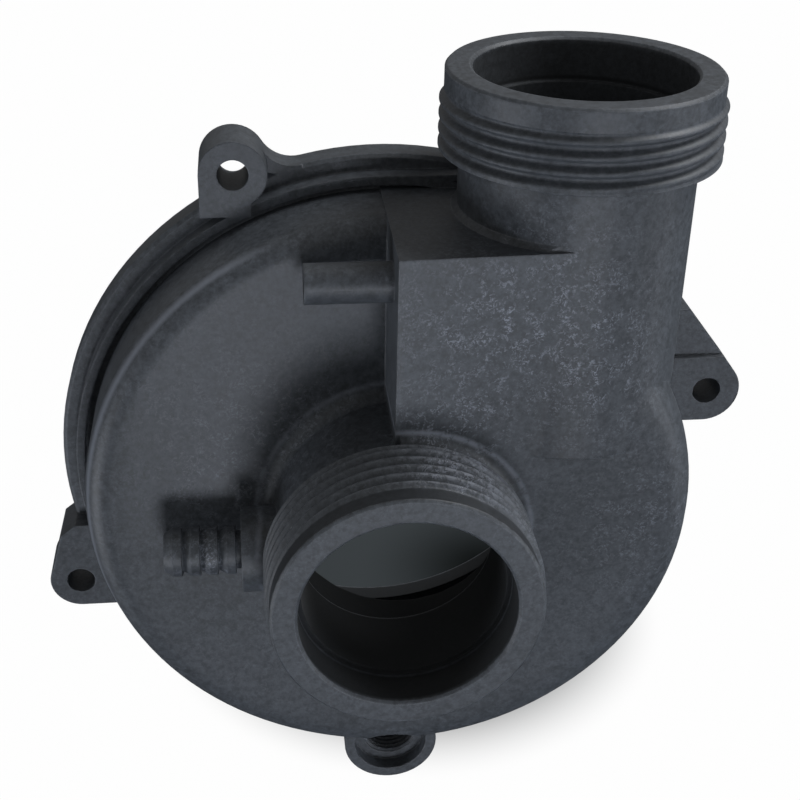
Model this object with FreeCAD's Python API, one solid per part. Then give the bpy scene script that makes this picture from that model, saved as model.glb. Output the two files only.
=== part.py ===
import FreeCAD, Part
import math
import os

# Volute pump casing, one moulded piece, in millimetres.
# It is drawn lying on its mounting face: x to the right, y towards the
# discharge port, z along the pump axis towards the suction port. The last
# step stands it up, with the discharge port on top and the suction port in
# front. The origin is the middle of the mounting face, on the pump axis.

Vec = FreeCAD.Vector
AXIS = Vec(0, 0, 1)

# Drum with the spiral front face
drum_radius = 70.5
wall = 3.2
ramp_low = 28.4
ramp_high = 51.2
ramp_start = 90.0
edge_round_low = 4.5
edge_round_high = 11.0
blend_angle = 315.0

# Mounting flange: a round plate with a lower second step, both outside the drum
step_width = 3.5
flange_width = 3.6
flange_thick = 7.0
flange_edge = 0.8
step_height = 11.5
groove_width = 1.5
groove_depth = 2.0
back_wall = 5.0
back_opening_radius = 48.0

# Raised block that turns the flow up into the discharge port
block_left = -1.1
block_rise = 0.5

# Suction port, on the pump axis
suction_end = 74.0
suction_neck_wall = 5.3
suction_thread_start = 53.5
suction_neck_fillet = 3.5

# Discharge port, parallel to the mounting face
discharge_x = 40.0
discharge_depth = 24.4
discharge_end = 101.9
discharge_neck_wall = 3.3
discharge_thread_start = 84.3
discharge_foot = 22.0

# Both ports take the same union nut
thread_radius = 30.15
lead_in_radius = 29.2
lead_in_length = 4.8
thread_chamfer = 1.2
port_bore_radius = 23.4
port_bore_depth = 9.0
duct_radius = 22.3
eye_recess_radius = 24.4
eye_recess_top = 46.0
neck_bead = 1.2
lip_chamfer = 0.6

# Screw lugs round the flange
lug_reach = 4.8
lug_hole_radius = 3.5
lug_eye_radius = 7.6
lug_height = 12.5
lug_top_angle = 114.1
lug_left_angle = 202.7
lug_low_angle = 293.0
lug_right_angle = 11.9
lug_fillet = 8.0
right_lug_eye_radius = 8.3
right_lug_slope_angle = 38.0
lug_shelf_drop = 1.5
top_lug_foot = 9.8
left_lug_foot = 16.6
right_lug_foot = 9.2
right_lug_web = 21.0

# Drain boss at the lowest point
drain_x = 1.5
drain_offset = 3.9
drain_boss_radius = 12.0
drain_boss_height = 32.0
drain_recess_radius = 9.3
drain_recess_depth = 3.5
drain_thread_radius = 6.85
drain_hole_bottom = 8.0
drain_port_width = 6.0
drain_port_height = 6.0

# Smooth bleed nipple on the left wall of the block
bleed_y = 61.4
bleed_height = 40.0
bleed_radius = 4.35
bleed_bore_radius = 2.4
bleed_length = 18.6

# Barbed hose nipple on the left of the suction neck
hose_y = -2.0
hose_height = 44.0
hose_collar_radius = 9.6
hose_collar_reach = 34.7
hose_tip_reach = 52.0
hose_stem_radius = 4.3
hose_barb_radius = 5.5
hose_barb_pitch = 4.0
hose_barb_count = 4
hose_crest_share = 0.5
hose_bore_radius = 2.6

# Working values
sweep_angle = 15.0
tangent_angle = 12.0
outer_round_steps = 4
neck_round_steps = 3
inner_round_steps = 2
thinnest_round = 1.0
overrun = 6.0
clear_top = suction_end + overrun
core_gap = 2.0
step_radius = drum_radius + step_width
suction_neck_radius = duct_radius + suction_neck_wall
discharge_neck_radius = duct_radius + discharge_neck_wall
flange_radius = step_radius + flange_width
bolt_circle_radius = flange_radius + lug_reach
drain_radius_from_axis = drum_radius + drain_offset
block_top = drum_radius + block_rise


def point(radius, angle, height):
    """A point at a radius and an angle in degrees round the pump axis."""
    turn = math.radians(angle)
    return Vec(radius * math.cos(turn), radius * math.sin(turn), height)


def disc(radius, bottom, top, x=0.0, y=0.0):
    """An upright cylinder between two heights."""
    return Part.makeCylinder(radius, top - bottom, Vec(x, y, bottom), AXIS)


def block(x0, x1, y0, y1, z0, z1):
    """A box between two corners."""
    return Part.makeBox(x1 - x0, y1 - y0, z1 - z0, Vec(x0, y0, z0))


def turned(profile, origin, along, out):
    """A profile of (distance along, radius) turned round the line along."""
    points = [origin + along * d + out * r for d, r in profile]
    face = Part.Face(Part.makePolygon(points + [points[0]]))
    return face.revolve(origin, along, 360)


def ramp(angle):
    """Height of the spiral front face; it climbs once round the axis."""
    return ramp_low + (ramp_high - ramp_low) * (angle - ramp_start) / 360.0


def edge_round(angle):
    """Radius of the face's outer edge, larger as the passage grows."""
    grown = (angle - ramp_start) / blend_angle
    return edge_round_low + (edge_round_high - edge_round_low) * grown


def bend(centre, first, last, radius, sweep, steps):
    """A round about a centre, from one direction to another, in even chords."""
    side = (last - first * first.dot(last)).normalize()
    points = []
    for i in range(steps + 1):
        turn = sweep * i / steps
        points.append(centre + (first * math.cos(turn) + side * math.sin(turn)) * radius)
    return [Part.makeLine(a, b) for a, b in zip(points, points[1:])]


def neck_corner(angle, neck, fillet, height, steps):
    """The side of the section that follows the neck and its root fillet, if any."""
    if fillet == 0:
        top = point(neck - core_gap, angle, clear_top + overrun)
        foot = point(neck - core_gap, angle, height)
        return [Part.makeLine(top, foot)], top, foot
    gap = math.radians(tangent_angle)
    start_r = neck + fillet * (1 - math.cos(gap))
    start_z = height + fillet * (1 - math.sin(gap))
    inner_r = neck - core_gap
    inner_z = start_z + (start_r - inner_r) / math.tan(gap)
    top = point(inner_r, angle, clear_top + overrun)
    knee = point(inner_r, angle, inner_z)
    start = point(start_r, angle, start_z)
    foot = point(neck + fillet, angle, height)
    centre = point(neck + fillet, angle, height + fillet)
    out = point(1, angle, 0)
    lean = out * -math.cos(gap) - AXIS * math.sin(gap)
    arc = bend(centre, lean, -AXIS, fillet, math.pi / 2 - gap, steps)
    edges = [Part.makeLine(top, knee), Part.makeLine(knee, start)] + arc
    return edges, top, foot


def rounded_section(angle, outer, edge, neck, fillet, lift, steps):
    """Space in front of the face, where the drum's edge is rounded."""
    height = ramp(angle) + lift
    edges, top, foot = neck_corner(angle, neck, fillet, height, neck_round_steps)
    last = math.radians(90 - tangent_angle)
    start = point(outer - edge, angle, height)
    end_r = outer - edge + edge * math.sin(last)
    end_z = height - edge + edge * math.cos(last)
    out_z = end_z - (outer + overrun - end_r) * math.tan(last)
    end = point(end_r, angle, end_z)
    low = point(outer + overrun, angle, out_z)
    high = point(outer + overrun, angle, clear_top + overrun)
    centre = point(outer - edge, angle, height - edge)
    lean = point(math.sin(last), angle, math.cos(last))
    edges.append(Part.makeLine(foot, start))
    edges += bend(centre, AXIS, lean, edge, last, steps)
    edges.append(Part.makeLine(end, low))
    edges.append(Part.makeLine(low, high))
    edges.append(Part.makeLine(high, top))
    return Part.Wire(edges)


def open_section(angle, reach, neck, fillet, lift, steps):
    """Space in front of the face, where it runs out over the block."""
    height = ramp(angle) + lift
    edges, top, foot = neck_corner(angle, neck, fillet, height, neck_round_steps)
    low = point(reach, angle, height)
    high = point(reach, angle, clear_top + overrun)
    edges.append(Part.makeLine(foot, low))
    edges.append(Part.makeLine(low, high))
    edges.append(Part.makeLine(high, top))
    return Part.Wire(edges)


def angles(start, stop):
    """Even steps from one angle to another."""
    count = max(3, round((stop - start) / sweep_angle))
    return [start + (stop - start) * i / count for i in range(count + 1)]


def flat_loft(sections):
    """A solid of flat triangles between sections of straight edges."""
    rings = [[corner.Point for corner in section.OrderedVertexes] for section in sections]
    faces = [Part.Face(sections[0]), Part.Face(sections[-1])]
    for ring, after in zip(rings, rings[1:]):
        for i in range(len(ring)):
            first, last, far, over = ring[i - 1], ring[i], after[i], after[i - 1]
            faces.append(Part.Face(Part.makePolygon([first, last, far, first])))
            faces.append(Part.Face(Part.makePolygon([first, far, over, first])))
    solid = Part.Solid(Part.Shell(faces))
    if solid.Volume < 0:
        solid.reverse()
    return solid


def smooth_loft(sections):
    """A solid with smooth faces from section to section."""
    return Part.makeLoft(sections, True, False)


def front_spaces(outer, neck, fillet, lift, thinner, steps, loft):
    """The two lofts in front of the spiral face: the drum and the block."""
    blend = ramp_start + blend_angle
    reach = math.hypot(discharge_x, block_top) + overrun + discharge_neck_radius
    drum_part = []
    for angle in angles(ramp_start, blend):
        edge = max(edge_round(angle) - thinner, thinnest_round)
        drum_part.append(rounded_section(angle, outer, edge, neck, fillet, lift, steps))
    block_part = []
    for angle in angles(blend, ramp_start + 360):
        block_part.append(open_section(angle, reach, neck, fillet, lift, steps))
    return [loft(part) for part in (drum_part, block_part)]


def outer_form():
    """Drum and raised block, with the spiral face cut over both."""
    top = ramp_high + overrun
    body = disc(drum_radius, 0, top)
    body = body.fuse(block(0, discharge_x, 0, block_top, 0, top))
    spaces = front_spaces(
        drum_radius, suction_neck_radius, suction_neck_fillet, 0, 0, outer_round_steps, smooth_loft)
    for space in spaces:
        body = body.cut(space)
    step_foot = suction_neck_radius - core_gap
    step = block(block_left, 0, step_foot, block_top, 0, ramp_high)
    return body.fuse(step)


def inner_form():
    """The water passage inside the drum and the block."""
    inner = drum_radius - wall
    top = ramp_high + overrun
    room = disc(inner, back_wall, top)
    left = block_left + wall
    passage = block(left, discharge_x, 0, block_top - wall, back_wall, top)
    room = room.fuse(passage)
    for space in front_spaces(inner, duct_radius, 0, -wall, wall, inner_round_steps, flat_loft):
        room = room.cut(space)
    tongue = block(block_left, left, 0, block_top, ramp_low - wall, clear_top)
    room = room.cut(tongue)
    boss = disc(drain_boss_radius, 0, top, drain_x, -drain_radius_from_axis)
    return room.cut(boss)


def lug_centre(angle):
    """Middle of a screw hole on the bolt circle."""
    return point(bolt_circle_radius, angle, 0)


def plate(points, height):
    """A flat plate standing on the mounting face."""
    corners = [Vec(x, y, 0) for x, y in points]
    return Part.Face(Part.makePolygon(corners + [corners[0]])).extrude(AXIS * height)


def lugs():
    """Four screw lugs, each an eye with a foot that runs into the drum."""
    eye = lug_eye_radius
    inside = drum_radius - wall
    pieces = []
    top = lug_centre(lug_top_angle)
    left = lug_centre(lug_left_angle)
    low = lug_centre(lug_low_angle)
    right = lug_centre(lug_right_angle)
    for centre in (top, left, low, right):
        pieces.append(disc(eye, 0, lug_height, centre.x, centre.y))
    pieces[3] = disc(right_lug_eye_radius, 0, lug_height, right.x, right.y)
    foot = top.y - top_lug_foot
    shape = [(top.x - eye, foot), (top.x + eye / 2, foot), (top.x + eye / 2, top.y), (top.x - eye, top.y)]
    pieces.append(plate(shape, lug_height))
    pieces.append(filleted_web(top, eye, lug_fillet, flange_thick))
    reach = left.y + left_lug_foot
    drum_x = -math.sqrt(inside ** 2 - reach ** 2)
    shape = [(left.x - eye, left.y), (left.x - eye * 0.5, reach - eye * 0.4), (left.x, reach)]
    shape += [(drum_x, reach), (drum_x, left.y - eye), (left.x, left.y - eye)]
    pieces.append(plate(shape, lug_height))
    spoke = Vec(low.x, low.y, 0).normalize()
    side = Vec(-spoke.y, spoke.x, 0)
    corners = [low + side * eye, low - side * eye]
    corners += [spoke * inside - side * eye, spoke * inside + side * eye]
    pieces.append(plate([(c.x, c.y) for c in corners], lug_height))
    bottom = right.y - right_lug_eye_radius
    drum_x = math.sqrt(inside ** 2 - bottom ** 2)
    slope = math.radians(right_lug_slope_angle)
    out = Vec(math.cos(slope), math.sin(slope), 0)
    edge = Vec(-math.sin(slope), math.cos(slope), 0)
    corner = right + out * right_lug_eye_radius
    shelf = right.y + right_lug_foot
    ledge = corner + edge * ((shelf - corner.y) / edge.y)
    drum_end = math.sqrt(inside ** 2 - shelf ** 2)
    shape = [(drum_x, bottom), (right.x, bottom), (corner.x, corner.y), (ledge.x, shelf), (drum_end, shelf)]
    pieces.append(plate(shape, lug_height))
    web = corner + edge * right_lug_web
    web_end = math.sqrt(inside ** 2 - web.y ** 2)
    shape = [(drum_x, bottom), (corner.x, corner.y), (web.x, web.y), (web_end, web.y)]
    pieces.append(plate(shape, lug_height - lug_shelf_drop))
    return pieces


def filleted_web(centre, eye, fillet, height):
    """A web that eases one side of a lug into the flange with a hollow round."""
    far = flange_radius + fillet
    near = eye + fillet
    span = math.hypot(centre.x, centre.y)
    along = (far ** 2 - near ** 2 + span ** 2) / (2 * span)
    off = math.sqrt(far ** 2 - along ** 2)
    spoke = Vec(centre.x, centre.y, 0).normalize()
    side = Vec(spoke.y, -spoke.x, 0)
    pivot = spoke * along + side * off
    rim = Vec(pivot.x, pivot.y, 0).normalize() * (flange_radius - step_width)
    shape = [(centre.x, centre.y), (pivot.x, pivot.y), (rim.x, rim.y)]
    return plate(shape, height).cut(disc(fillet, -overrun, height + overrun, pivot.x, pivot.y))


def flange():
    """Round plate, second step with its groove, and the step's straight run."""
    profile = [(0, 0), (0, flange_radius), (flange_thick - flange_edge, flange_radius)]
    profile += [(flange_thick, flange_radius - flange_edge), (flange_thick, step_radius)]
    profile += [(step_height, step_radius), (step_height, drum_radius + groove_width)]
    profile += [(step_height - groove_depth, drum_radius + groove_width)]
    profile += [(step_height - groove_depth, drum_radius - wall / 2)]
    profile += [(step_height - groove_depth, 0)]
    body = turned(profile, Vec(0, 0, 0), AXIS, Vec(1, 0, 0))
    rim = step_radius
    bar_foot = block_top + groove_width
    floor = step_height - groove_depth
    body = body.fuse(block(0, discharge_x, block_top - wall, rim, 0, floor))
    return body.fuse(block(0, discharge_x, bar_foot, rim, 0, step_height))


def port_profile(foot, neck, thread_start, end):
    """Outline of a port: neck, threaded band and smooth lead-in."""
    thread_end = end - lead_in_length
    return [
        (foot, 0), (foot, neck), (thread_start, neck),
        (thread_start, thread_radius - thread_chamfer),
        (thread_start + thread_chamfer / 2, thread_radius),
        (thread_end, thread_radius), (thread_end, lead_in_radius),
        (end - lip_chamfer, lead_in_radius), (end, lead_in_radius - lip_chamfer),
        (end, 0)]


def bore_profile(foot, end):
    """Hollow of a port: the duct, a small shoulder and the wider mouth."""
    mouth = end - port_bore_depth
    return [
        (foot, 0), (foot, duct_radius), (mouth - lip_chamfer, duct_radius),
        (mouth - lip_chamfer, port_bore_radius),
        (end - lip_chamfer, port_bore_radius), (end + lip_chamfer, port_bore_radius + 2 * lip_chamfer),
        (end + lip_chamfer, 0)]


def hose_nipple():
    """Collar and barbed stem, pointing left from the suction neck."""
    start = suction_neck_radius - core_gap
    profile = [(start, 0), (start, hose_collar_radius)]
    profile += [(hose_collar_reach, hose_collar_radius), (hose_collar_reach, hose_stem_radius)]
    first = hose_tip_reach - hose_barb_count * hose_barb_pitch
    for i in range(hose_barb_count):
        at = first + i * hose_barb_pitch
        profile.append((at, hose_stem_radius))
        profile.append((at, hose_barb_radius))
        profile.append((at + hose_barb_pitch * hose_crest_share, hose_barb_radius))
    profile.append((hose_tip_reach, hose_stem_radius))
    profile.append((hose_tip_reach, 0))
    return turned(profile, Vec(0, hose_y, hose_height), Vec(-1, 0, 0), Vec(0, 1, 0))


def bleed_nipple():
    """Plain tube, pointing left from the block's wall."""
    start = -block_left - wall / 2
    end = -block_left + bleed_length
    profile = [(start, 0), (start, bleed_radius), (end, bleed_radius), (end, 0)]
    return turned(profile, Vec(0, bleed_y, bleed_height), Vec(-1, 0, 0), Vec(0, 1, 0))


def discharge_line(profile):
    """A profile turned round the discharge axis."""
    return turned(profile, Vec(discharge_x, 0, discharge_depth), Vec(0, 1, 0), Vec(1, 0, 0))


def casing():
    """The whole moulding: outer forms first, then every hollow."""
    body = outer_form()
    body = body.fuse(flange())
    drain_y = -drain_radius_from_axis
    body = body.fuse(disc(drain_boss_radius, 0, drain_boss_height, drain_x, drain_y))
    body = body.fuse(discharge_line(port_profile(
        discharge_foot, discharge_neck_radius, discharge_thread_start, discharge_end)))
    body = body.fuse(turned(port_profile(
        ramp_low, suction_neck_radius, suction_thread_start, suction_end),
        Vec(0, 0, 0), AXIS, Vec(1, 0, 0)))
    bead = discharge_line([
        (block_top - neck_bead, 0), (block_top - neck_bead, discharge_neck_radius + neck_bead),
        (block_top, discharge_neck_radius + neck_bead), (block_top + neck_bead, discharge_neck_radius),
        (block_top + neck_bead, 0)])
    body = body.fuse(bead.common(block(0, discharge_x, 0, discharge_end, 0, ramp_high - 2 * neck_bead)))
    body = body.fuse(lugs())
    body = body.fuse([hose_nipple(), bleed_nipple()])

    hollows = [inner_form()]
    hollows.append(disc(back_opening_radius, -overrun, back_wall + overrun))
    hollows.append(turned(bore_profile(back_wall, suction_end), Vec(0, 0, 0), AXIS, Vec(1, 0, 0)))
    hollows.append(disc(eye_recess_radius, back_wall, eye_recess_top))
    hollows.append(discharge_line(bore_profile(discharge_foot + wall, discharge_end)))
    recess = drain_boss_height - drain_recess_depth
    hollows.append(disc(drain_recess_radius, recess, clear_top, drain_x, drain_y))
    hollows.append(disc(drain_thread_radius, drain_hole_bottom, recess + overrun, drain_x, drain_y))
    port_end = drain_y + drain_boss_radius + wall
    hollows.append(block(
        drain_x - drain_port_width / 2, drain_x + drain_port_width / 2, drain_y, port_end,
        drain_hole_bottom, drain_hole_bottom + drain_port_height))
    for angle in (lug_top_angle, lug_left_angle, lug_low_angle, lug_right_angle):
        centre = lug_centre(angle)
        hollows.append(disc(lug_hole_radius, -overrun, lug_height + overrun, centre.x, centre.y))
    hose_line = Vec(-hose_tip_reach - overrun, hose_y, hose_height)
    hose_depth = hose_tip_reach + overrun - duct_radius + wall
    hollows.append(Part.makeCylinder(hose_bore_radius, hose_depth, hose_line, Vec(1, 0, 0)))
    bleed_line = Vec(block_left - bleed_length - overrun, bleed_y, bleed_height)
    bleed_depth = bleed_length + overrun + wall * 2
    hollows.append(Part.makeCylinder(bleed_bore_radius, bleed_depth, bleed_line, Vec(1, 0, 0)))
    hollows.append(disc(flange_radius + flange_edge, -clear_top, 0))
    for hollow in hollows:
        body = body.cut(hollow)
    return body.removeSplitter()


os.makedirs("parts", exist_ok=True)
shape = casing()
if shape.ShapeType == "Compound" and len(shape.Solids) == 1:
    shape = shape.Solids[0]
shape.rotate(Vec(0, 0, 0), Vec(1, 0, 0), 90)
shape.exportStep("parts/volute_casing.step")
print("solids", len(shape.Solids), "valid", shape.isValid(), "volume", round(shape.Volume))
print("box", shape.BoundBox)
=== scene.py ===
import bmesh
import bpy
import math
import numpy as np
from mathutils import Matrix, Vector


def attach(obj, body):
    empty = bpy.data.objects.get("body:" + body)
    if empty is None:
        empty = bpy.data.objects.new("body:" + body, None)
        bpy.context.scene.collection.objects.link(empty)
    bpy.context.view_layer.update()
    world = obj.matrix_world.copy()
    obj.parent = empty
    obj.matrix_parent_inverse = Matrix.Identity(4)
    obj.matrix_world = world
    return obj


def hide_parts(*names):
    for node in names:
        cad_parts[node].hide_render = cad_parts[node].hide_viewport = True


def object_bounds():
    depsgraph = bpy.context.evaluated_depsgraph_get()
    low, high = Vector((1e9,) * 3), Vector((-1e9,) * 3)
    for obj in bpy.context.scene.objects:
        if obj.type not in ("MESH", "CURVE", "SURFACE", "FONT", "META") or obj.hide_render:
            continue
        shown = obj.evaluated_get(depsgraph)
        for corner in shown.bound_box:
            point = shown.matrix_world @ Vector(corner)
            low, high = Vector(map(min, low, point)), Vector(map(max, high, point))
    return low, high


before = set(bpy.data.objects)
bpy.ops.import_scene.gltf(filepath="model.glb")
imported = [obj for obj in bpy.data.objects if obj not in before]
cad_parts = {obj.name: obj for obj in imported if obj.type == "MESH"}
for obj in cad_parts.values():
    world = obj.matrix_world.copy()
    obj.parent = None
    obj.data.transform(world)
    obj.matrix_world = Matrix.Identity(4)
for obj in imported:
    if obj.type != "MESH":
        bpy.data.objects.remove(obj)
cad_low, cad_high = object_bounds()

# The casing itself: one piece of charcoal glass-filled plastic, moulded with
# its flange, spiral front, ports, lugs and nipples. Its skin is the solid's
# own, apart from the two plain bands where the threads go.
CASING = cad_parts["volute_casing"]
THREAD_CREST = 0.03015
THREAD_FOOT = 0.02895
LEAD_IN = 0.0292

# each port: a point on its axis, the way it points, a radial direction,
# and where its threaded band starts and ends along the axis
SUCTION = ((0, 0, 0), (0, -1, 0), (1, 0, 0), 0.0535, 0.0693)
DISCHARGE = ((0.040, -0.0244, 0), (0, 0, 1), (1, 0, 0), 0.0843, 0.0971)


def along_port(port, points):
    """Distance along a port's axis and distance from it, for an array of points."""
    centre, axis = np.array(port[0]), np.array(port[1], float)
    offset = points - centre
    along = offset @ axis
    away = np.linalg.norm(offset - along[:, None] * axis, axis=1)
    return along, away


def new_piece(name, points, faces, finish):
    """A smooth-shaded object from arrays of points and faces, in the row frame."""
    mesh = bpy.data.meshes.new(name)
    mesh.from_pydata(points.tolist(), [], [list(map(int, face)) for face in faces])
    mesh.validate()
    mesh.update()
    mesh.materials.append(finish)
    mesh.shade_smooth()
    piece = bpy.data.objects.new(name, mesh)
    bpy.context.scene.collection.objects.link(piece)
    return piece


class Socket:
    """A shader socket that takes part in plain arithmetic.

    One without a link stands for its tree alone, to make the first nodes.
    """

    def __init__(self, tree, link=None):
        self.tree = tree
        self.link = link

    def node(self, kind, settings=None, **inputs):
        """A node of a type, its settings made first, then its sockets filled.

        A socket is given by its name, or by its number after an i.
        """
        made = self.tree.nodes.new(kind)
        for key, value in (settings or {}).items():
            setattr(made, key, value)
        for key, value in inputs.items():
            numbered = key[1:].isdigit()
            place = made.inputs[int(key[1:]) if numbered else key.replace("_", " ")]
            if isinstance(value, Socket):
                self.tree.links.new(value.link, place)
            else:
                place.default_value = value
        return made

    def from_node(self, output, kind, settings=None, **inputs):
        """One output of a new node, by its name or number."""
        return Socket(self.tree, self.node(kind, settings, **inputs).outputs[output])

    def into(self, node, place):
        """Links this value to a node's socket."""
        self.tree.links.new(self.link, node.inputs[place])

    def maths(self, operation, *others, swap=False):
        """This value and any others put through one operation."""
        values = (self, *others)
        if swap:
            values = values[::-1]
        numbered = {f"i{place}": value for place, value in enumerate(values)}
        return self.from_node(0, "ShaderNodeMath", {"operation": operation}, **numbered)

    def __add__(self, other):
        return self.maths("ADD", other)

    def __radd__(self, other):
        return self.maths("ADD", other)

    def __sub__(self, other):
        return self.maths("SUBTRACT", other)

    def __rsub__(self, other):
        return self.maths("SUBTRACT", other, swap=True)

    def __mul__(self, other):
        return self.maths("MULTIPLY", other)

    def __rmul__(self, other):
        return self.maths("MULTIPLY", other)

    def root(self):
        """The square root."""
        return self.maths("SQRT")

    def ramp(self, low, high):
        """0 below low, 1 above high and smooth between."""
        return self.from_node(
            "Result", "ShaderNodeMapRange", {"interpolation_type": "SMOOTHSTEP"},
            Value=self, From_Min=low, From_Max=high)

    def ridge(self, width, middle=0.5):
        """1 where the value passes its middle and 0 further from it than a width."""
        return 1.0 - (self - middle).maths("ABSOLUTE").ramp(0.0, width)

    def noise(self, scale, detail=2.0, rough=0.5, stretch=0.0):
        """Grain at a number of lumps per metre."""
        return self.from_node(
            "Fac", "ShaderNodeTexNoise", Vector=self, Scale=scale,
            Detail=detail, Roughness=rough, Distortion=stretch)

    def parts(self):
        """The x, y and z of a position."""
        made = self.node("ShaderNodeSeparateXYZ", Vector=self)
        return [Socket(self.tree, output) for output in made.outputs]

    def near(self, centre, reach):
        """1 at a point given in millimetres, fading to 0 at a distance from it."""
        gap = self.from_node(
            "Value", "ShaderNodeVectorMath", {"operation": "DISTANCE"},
            i0=self, i1=tuple(value / 1000 for value in centre))
        return self.from_node(
            "Result", "ShaderNodeMapRange", {"interpolation_type": "SMOOTHSTEP"},
            Value=gap, From_Min=0.0, From_Max=reach / 1000, To_Min=1.0, To_Max=0.0)

    def tint(self, low, high):
        """A colour between two, by this value.

        The Mix node's colours are its inputs 6 and 7 and its output 2.
        """
        return self.from_node(2, "ShaderNodeMix", {"data_type": "RGBA"},
                              i0=self, i6=low, i7=high)


# the plastic's tones, the painted shades and the pale wear and painted highlight, from the
# darkest to the palest
BORE_PAINTED_SHADE = (0.006, 0.007, 0.0075, 1)
LEAD_IN_PAINTED_SHADE = (0.012, 0.013, 0.014, 1)
CHARCOAL_DARK = (0.036, 0.040, 0.045, 1)
CHARCOAL_PALE = (0.078, 0.087, 0.099, 1)
WORN_EDGE = (0.22, 0.235, 0.26, 1)
WORN_AND_HIGHLIGHT_PALE = (0.24, 0.26, 0.30, 1)
SCUFFED = (0.25, 0.27, 0.315, 1)
NICKED = (0.75, 0.76, 0.78, 1)

# where the skin is rubbed pale, and, at the drain (1.5, -26, -74.4), a painted highlight of
# pale speckle on its thread: a place in mm, its reach in mm and how strongly
RUBBED_AND_DRAIN_HIGHLIGHT = (
    ((30, -51, 57), 30, 1.0), ((40, -48, 42), 24, 0.8), ((9, -51, 56), 22, 0.6),
    ((-33, -31, 18), 36, 0.5), ((12, -50, 30), 20, 1.1), ((10, -62, 28), 14, 2.2),
    ((28, -62, 12), 12, 0.8), ((58, -40, 2), 30, 0.5), ((52, -24, 88), 22, 0.5),
    ((1.5, -26, -74.4), 9, 2.5), ((-43, -46, -4), 11, 1.2))
RUBBED_ALL_OVER = 0.12

# small white nicks: a place in mm and a size in mm
NICKS = (
    ((58.1, -44, 57.5), 0.8), ((-19.8, -30.5, 67.7), 0.9),
    ((-23.6, -65.5, 17.9), 0.9), ((-23.2, -65.0, 18.7), 0.8))

# where one stretch of skin gives way to the next: from a port's axis, along y
# for the suction port and the flange, and along z for the discharge port
SUCTION_BORE = (0.0247, 0.0251)
DISCHARGE_BORE = (0.0239, 0.0243)
REAR_OPENING = (0.0482, 0.0486)
SUCTION_MOUTH = (-0.0736, -0.0722)
REGISTER_END = (-0.0052, -0.0050)
BACK_FACE = (-0.0006, -0.0002)
DISCHARGE_START = (0.05, 0.06)
DISCHARGE_MOUTH = (0.1002, 0.1014)
DRUM_FRONT = (-0.024, -0.022)
COLLAR_FACE = (-0.0532, -0.0525)
FIRST_CREST = (-0.0533, -0.0530)

# the ledges inside the ports, each with its half width and its place
MOUTH_LEDGE = (0.0007, -0.0652)
DUCT_LEDGE = (0.0006, -0.0460)
DISCHARGE_LEDGE = (0.0009, 0.0929)


def painted_bore_shade(y, z, from_suction, from_discharge):
    """Painted shade inside the casing, where little light comes: 1 there, and less on the
    suction bore's ledges, which are left paler as if lit.

    The parts are the suction bore, the wall of the rear opening and, at 0.6,
    the discharge bore, whose own ledge adds 0.4 more painted shade.
    """
    ledges = y.ridge(*MOUTH_LEDGE) + y.ridge(*DUCT_LEDGE)
    in_suction = (1.0 - from_suction.ramp(*SUCTION_BORE)) * y.ramp(*SUCTION_MOUTH)
    in_opening = (1.0 - from_suction.ramp(*REAR_OPENING)) * y.ramp(*REGISTER_END)
    in_opening = in_opening * (1.0 - y.ramp(*BACK_FACE))
    in_discharge = 1.0 - from_discharge.ramp(*DISCHARGE_BORE)
    lit_part = z.ramp(*DISCHARGE_START) * (1.0 - z.ramp(*DISCHARGE_MOUTH))
    bore_shade = in_suction * (1.0 - ledges * 0.8) + in_opening
    bore_shade = bore_shade + in_discharge * lit_part * 0.6
    return bore_shade + in_discharge * z.ridge(*DISCHARGE_LEDGE) * 0.4


def worn_and_highlight_lines(place, x, y, z, from_suction):
    """Pale lines: a painted highlight along the drum's edge, wear and painted highlight along
    the suction neck's root fillet, and wear on the thread crests.
    """
    behind_front = 1.0 - y.ramp(*DRUM_FRONT)
    drum_edge_highlight = from_suction.ridge(0.0008, 0.0697) * behind_front
    drum_edge_highlight = drum_edge_highlight * (1.0 - x.ramp(-0.038, -0.022)) * z.ramp(-0.05, -0.03)
    fillet_wear_and_highlight = from_suction.ridge(0.0011, 0.0312) * behind_front * y.ramp(*COLLAR_FACE)
    fillet_wear_and_highlight = fillet_wear_and_highlight * (place.near((14, -50, 29), 26) + 0.45)
    fillet_wear_and_highlight = fillet_wear_and_highlight * place.noise(420, 3, 0.7).ramp(0.28, 0.55)
    crests = from_suction.ramp(0.0290, 0.0301) * (1.0 - y.ramp(*FIRST_CREST))
    crests = crests * place.near((12, -61, 27), 27)
    crests = crests * place.noise(700, 3, 0.7, 0.6).ramp(0.38, 0.60)
    return fillet_wear_and_highlight * 0.8 + crests * 0.75 + drum_edge_highlight * 0.6


def softened(tree, reach):
    """A normal that rounds the edges by a reach, in the shading only."""
    return Socket(tree).from_node("Normal", "ShaderNodeBevel", {"samples": 4}, Radius=reach)


def worn_edges(tree, reach):
    """1 on an edge, where a rounded normal leaves the face's own, and 0 off it."""
    rounded = softened(tree, reach)
    flat = rounded.from_node("Normal", "ShaderNodeNewGeometry")
    match = rounded.from_node("Value", "ShaderNodeVectorMath",
                              {"operation": "DOT_PRODUCT"}, i0=rounded, i1=flat)
    return 1.0 - match.ramp(0.90, 0.995)


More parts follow.
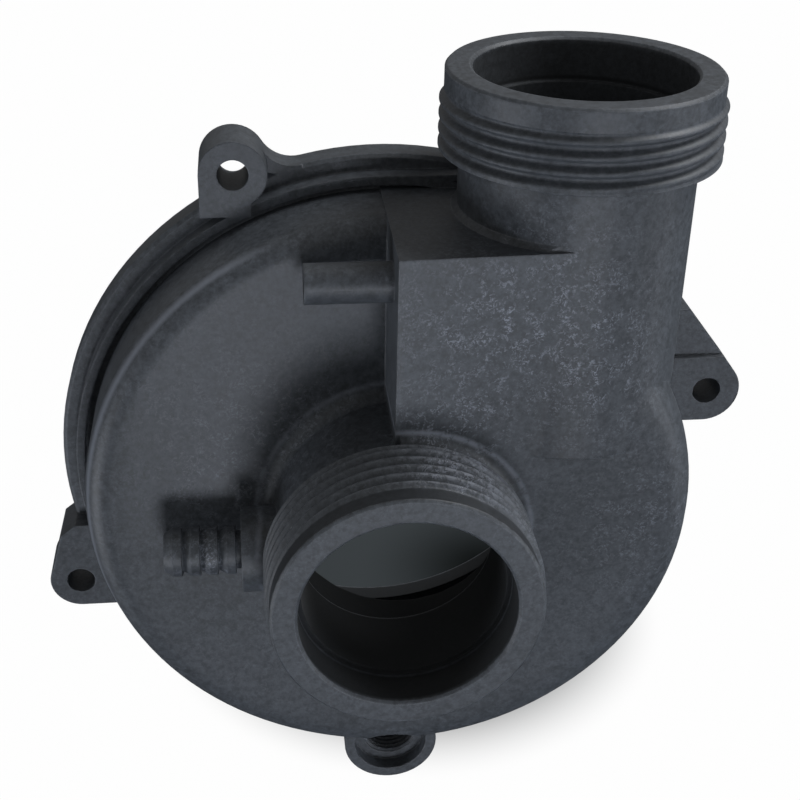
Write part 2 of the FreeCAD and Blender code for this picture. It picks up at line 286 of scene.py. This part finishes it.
def moulded_plastic():
    """Charcoal plastic: fine mottling, rubbed speckle, a few white nicks, satin skin, with
    painted shade in the bores and on the lead-in, and painted highlights on the drum's edge,
    the neck's fillet and the drain thread.
    """
    finish = bpy.data.materials.new("moulded_plastic")
    finish.use_nodes = True
    tree = finish.node_tree
    shader = tree.nodes["Principled BSDF"]
    place = Socket(tree).from_node("Object", "ShaderNodeTexCoord")
    x, y, z = place.parts()
    from_suction = (x * x + z * z).root()
    sideways = x - DISCHARGE[0][0]
    forwards = y - DISCHARGE[0][1]
    from_discharge = (sideways * sideways + forwards * forwards).root()
    bore_shade = painted_bore_shade(y, z, from_suction, from_discharge)

    # the plastic's own mottling
    cloud = place.noise(40, 3, 0.55)
    mottle = place.noise(620, 3, 0.6)
    speck = place.noise(1350, 2, 0.6, 0.5)
    tone = (cloud - 0.5) * 0.5 + (mottle - 0.5) * 1.5 + (speck - 0.5) * 0.8 + 0.5
    colour = tone.ramp(0.0, 1.0).tint(CHARCOAL_DARK, CHARCOAL_PALE)

    # pale speckle where it is rubbed, which on the drain thread is a painted highlight, pale
    # lines of wear and painted highlight, and painted shade on the top of the lead-in
    rubbed_and_highlight = RUBBED_ALL_OVER
    for centre, reach, amount in RUBBED_AND_DRAIN_HIGHLIGHT:
        rubbed_and_highlight = place.near(centre, reach) * amount + rubbed_and_highlight
    worms = place.noise(680, 2, 0.6, 1.2).ridge(0.08) * speck.ramp(0.38, 0.60)
    scuff = worms * place.noise(260, 3, 0.7).ramp(0.40, 0.62) * rubbed_and_highlight
    # pale scuff speckle, which on the drain thread is a painted highlight
    colour = (scuff * 0.85).tint(colour, SCUFFED)
    # pale lines: painted highlight on the drum's edge, wear and painted highlight at the neck's
    # fillet, wear on the crests
    colour = worn_and_highlight_lines(place, x, y, z, from_suction).tint(colour, WORN_AND_HIGHLIGHT_PALE)
    # painted shade: the up-facing top of the lead-in band darkened
    lead_in_shade = from_suction.ridge(0.0007, 0.0291) * (1.0 - y.ramp(-0.0698, -0.0692))
    lead_in_shade = lead_in_shade * y.ramp(-0.0737, -0.0733) * z.ramp(-0.005, 0.015)
    colour = (lead_in_shade * 0.75).tint(colour, LEAD_IN_PAINTED_SHADE)
    worn = worn_edges(tree, 0.0005) * place.noise(500, 3, 0.7).ramp(0.30, 0.62)
    colour = (worn * 0.5).tint(colour, WORN_EDGE)
    # painted shade: the bores and the rear opening's wall darkened almost to black
    colour = (bore_shade * 0.85).tint(colour, BORE_PAINTED_SHADE)
    nick = 0.0
    for centre, size in NICKS:
        nick = place.near(centre, size).ramp(0.2, 0.6) + nick
    colour = nick.tint(colour, NICKED)
    colour.into(shader, "Base Color")

    # a satin skin with a fine grain, and its edges just off sharp
    rough = 0.50 + (mottle - 0.5) * 0.2 + (cloud - 0.5) * 0.1 + scuff * 0.1 + bore_shade * 0.4
    rough.into(shader, "Roughness")
    grain = speck * 0.4 + mottle * 0.6
    bump = grain.from_node("Normal", "ShaderNodeBump", Height=grain, Strength=0.2,
                           Distance=0.0002, Normal=softened(tree, 0.0006))
    bump.into(shader, "Normal")
    return finish


PLASTIC = moulded_plastic()
MERGE_DISTANCE = 2e-6
ALONG_SLACK = 1e-5
RADIAL_SLACK = 1e-4


def casing_skin():
    """The solid's skin, merged, without the plain bands that the threads take."""
    copied = CASING.data.copy()
    work = bmesh.new()
    work.from_mesh(copied)
    bmesh.ops.remove_doubles(work, verts=work.verts, dist=MERGE_DISTANCE)
    work.to_mesh(copied)
    work.free()
    points = np.empty(len(copied.vertices) * 3)
    copied.vertices.foreach_get("co", points)
    points = points.reshape(-1, 3)
    faces = np.empty(len(copied.polygons) * 3, int)
    copied.polygons.foreach_get("vertices", faces)
    faces = faces.reshape(-1, 3)
    gone = np.zeros(len(faces), bool)
    for port in (SUCTION, DISCHARGE):
        start, end = port[3:]
        along, away = along_port(port, points)
        banded = (along > start - ALONG_SLACK) & (along < end + ALONG_SLACK)
        banded &= away > THREAD_FOOT - RADIAL_SLACK
        banded &= away < THREAD_CREST + RADIAL_SLACK
        gone |= banded[faces].all(axis=1)
    return points, faces[~gone]


points, faces = casing_skin()
skin = new_piece("casing_skin", points, faces, PLASTIC)
skin.data.set_sharp_from_angle(angle=math.radians(28))
# large flat faces keep their own direction, so only the narrow rounds bend
weighted = skin.modifiers.new("weighted", "WEIGHTED_NORMAL")
weighted.weight = 100
weighted.keep_sharp = True
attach(skin, "root")
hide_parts("volute_casing")


# The union threads: coarse rounded ridges, moulded in one with each port.
# They wind up to a smooth lead-in band and end in a low collar at the neck.
PITCH = 0.003175
THREAD_DEPTH = 0.0015
THREAD_ROWS = 121
TUBE_COLUMNS = 288
COLLAR_LAND = 0.0007
COLLAR_FADE = 0.0012
LEAD_IN_FADE = 0.0010
FOOT_FADE = 0.0005


def around_turn():
    """The columns of a tube as shares of one turn."""
    return np.linspace(0, 1, TUBE_COLUMNS + 1)[:-1]


def tube(centre, axis, side, along, radius, name):
    """A round skin about an axis from grids of distances along it and radii."""
    axis, side = np.array(axis, float), np.array(side, float)
    other = np.cross(axis, side)
    turn = 2 * np.pi * around_turn()[None, :, None]
    grid = np.array(centre)[None, None] + along[..., None] * axis
    grid = grid + radius[..., None] * (np.cos(turn) * side + np.sin(turn) * other)
    row, col = np.meshgrid(np.arange(len(grid) - 1), np.arange(TUBE_COLUMNS), indexing="ij")
    start, after = row * TUBE_COLUMNS, (col + 1) % TUBE_COLUMNS
    quads = np.stack([start + col, start + after, start + TUBE_COLUMNS + after,
                      start + TUBE_COLUMNS + col], axis=-1)
    piece = new_piece(name, grid.reshape(-1, 3), quads.reshape(-1, 4), PLASTIC)
    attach(piece, "root")


def thread(port, first_crest, name):
    """A tube round the port whose radius is the crest's, less a helical groove.

    The groove's depth follows the distance along the axis less one pitch for
    each turn, and fades out before the collar and towards the lead-in. It is
    stretched a little past its range, which flattens its crests and roots.
    """
    centre, axis, side, start, end = port
    turn, part = np.meshgrid(around_turn(), np.linspace(0, 1, THREAD_ROWS))
    along = start + (end - start) * part
    phase = (along - first_crest) / PITCH - turn
    groove = 0.5 - 0.5 * np.cos(2 * np.pi * phase)
    groove = np.clip(groove * 1.12 - 0.06, 0, 1)
    near_collar = np.clip((along - start - COLLAR_LAND) / COLLAR_FADE, 0, 1)
    to_lead_in = np.clip((end - along) / LEAD_IN_FADE, 0, 1)
    radius = THREAD_CREST - THREAD_DEPTH * groove * near_collar
    radius = LEAD_IN + (radius - LEAD_IN) * to_lead_in
    foot = np.clip((along - start) / FOOT_FADE, 0, 1)
    radius = THREAD_FOOT + (radius - THREAD_FOOT) * foot
    tube(centre, axis, side, along, radius, name)


thread(SUCTION, first_crest=0.0549, name="suction_thread")
thread(DISCHARGE, first_crest=0.0868, name="discharge_thread")

# the drain's own thread, cut inside its hole from the recess down
DRAIN_AXIS = (0.0015, 0, -0.0744)
DRAIN_HOLE = 0.00683
DRAIN_PITCH = 0.00141
DRAIN_THREAD_DEPTH = 0.0007
DRAIN_START = 0.0120
DRAIN_END = 0.0284
DRAIN_FADE = 0.0006
DRAIN_ROWS = 100
turn, along = np.meshgrid(around_turn(), np.linspace(DRAIN_START, DRAIN_END, DRAIN_ROWS))
crest = 0.5 + 0.5 * np.cos(2 * np.pi * (along / DRAIN_PITCH - turn))
fade = np.clip((DRAIN_END - along) / DRAIN_FADE, 0, 1)
fade = fade * np.clip((along - DRAIN_START) / DRAIN_FADE, 0, 1)
tube(DRAIN_AXIS, (0, -1, 0), (1, 0, 0), along,
     DRAIN_HOLE - DRAIN_THREAD_DEPTH * crest * fade, "drain_thread")


# The table: a painted shadow, dark grey to black, on the ground under and behind the
# casing, where it shows through the suction port, and white further out. It lets the
# low lamps through, so they light the casing from below its front, as light thrown back by a
# pale table does.
PAINTED_SHADOW_GREY = (0.064, 0.073, 0.077, 1)
PAINTED_SHADOW_BLACK = (0.005, 0.006, 0.0055, 1)
TABLE_GAP = 0.0002
TABLE_HALF = 6.0


def floor_finish():
    """White for the camera far out; near the casing a painted shadow, dark grey to black,
    shows.
    """
    finish = bpy.data.materials.new("pale_floor")
    finish.use_nodes = True
    tree = finish.node_tree
    tree.nodes.clear()
    place = Socket(tree).from_node("Object", "ShaderNodeTexCoord")
    spread = place.from_node("Value", "ShaderNodeVectorMath", {"operation": "LENGTH"}, i0=place)
    far = spread.ramp(0.040, 0.080)
    ray = place.from_node("Is Camera Ray", "ShaderNodeLightPath")
    # painted shadow: darkest behind the casing's right side, grey further left
    painted_shadow = place.near((29, 12, 0), 46).tint(PAINTED_SHADOW_GREY, PAINTED_SHADOW_BLACK)
    matt = painted_shadow.from_node("BSDF", "ShaderNodeBsdfPrincipled", Base_Color=painted_shadow,
                           Roughness=1.0, Specular_IOR_Level=0.0)
    glow = place.from_node("Emission", "ShaderNodeEmission")
    lit = matt.from_node("Shader", "ShaderNodeMixShader", i0=ray * far * 0.99, i1=matt, i2=glow)
    lit.node("ShaderNodeOutputMaterial", Surface=lit)
    return finish


corners = TABLE_HALF * np.array([(-1, -1, 0), (1, -1, 0), (1, 1, 0), (-1, 1, 0)])
floor = new_piece("floor", corners, [(0, 1, 2, 3)], floor_finish())
floor.location = (0.015, 0.045, cad_low.z - TABLE_GAP)
floor.visible_shadow = False


# The lamps: a soft one low in front, a low one at each side, one high at the
# right and a low one behind. Each has a place, the height that it aims at on
# the middle line, a size, a power and a colour.
LAMPS = {
    "key_lamp": ((0.12, -1.48, -0.40), 0.02, 0.40, 9, (0.87, 0.91, 1.0)),
    "left_lamp": ((-1.15, -0.40, -0.50), 0.02, 0.5, 6, (0.88, 0.92, 1.0)),
    "right_lamp": ((1.15, -0.50, -0.15), 0.02, 0.5, 6, (0.88, 0.92, 1.0)),
    "high_lamp": ((0.8, 0.15, 1.1), 0.05, 0.5, 12, (0.95, 0.97, 1.0)),
    "back_lamp": ((0.5, 1.3, -0.8), 0.02, 0.7, 8, (0.95, 0.97, 1.0)),
}
ROOM_LIGHT = 0.23

for name, (place, aim_height, size, power, colour) in LAMPS.items():
    lamp = bpy.data.lights.new(name, "AREA")
    lamp.shape = "SQUARE"
    lamp.size = size
    lamp.energy = power
    lamp.color = colour
    holder = bpy.data.objects.new(name, lamp)
    bpy.context.scene.collection.objects.link(holder)
    holder.location = place
    aim = Vector((0, 0, aim_height)) - Vector(place)
    holder.rotation_euler = aim.to_track_quat("-Z", "Y").to_euler()

# the room: white for the camera and dim for everything else
world = bpy.data.worlds.new("studio")
world.use_nodes = True
bpy.context.scene.world = world
tree = world.node_tree
tree.nodes.clear()
ray = Socket(tree).from_node("Is Camera Ray", "ShaderNodeLightPath")
sky = ray.from_node("Background", "ShaderNodeBackground", Color=(1, 1, 1, 1),
                    Strength=ray * (1 - ROOM_LIGHT) + ROOM_LIGHT)
sky.node("ShaderNodeOutputWorld", Surface=sky)

# The camera stands a little left of the pump axis and looks down at the
# front. Its matrix has its right, up and back directions as columns, and then
# its place.
CAMERA_PLACE = Vector((-0.02986, -0.29993, 0.18059))
CAMERA_RIGHT = Vector((0.99407, -0.10693, 0.01969))
CAMERA_UP = Vector((0.03549, 0.49027, 0.87085))
CAMERA_BACK = Vector((-0.10277, -0.86499, 0.49115))

scene = bpy.context.scene
scene.view_settings.view_transform = "Standard"
camera = bpy.data.objects.new("camera", bpy.data.cameras.new("camera"))
scene.collection.objects.link(camera)
camera.data.sensor_width = 36
camera.data.lens = 61.8
camera.data.clip_start = 0.01
camera.data.clip_end = 50
columns = (CAMERA_RIGHT, CAMERA_UP, CAMERA_BACK, CAMERA_PLACE)
rows = [[column[axis] for column in columns] for axis in range(3)]
camera.matrix_world = Matrix((*rows, (0, 0, 0, 1)))
scene.camera = camera
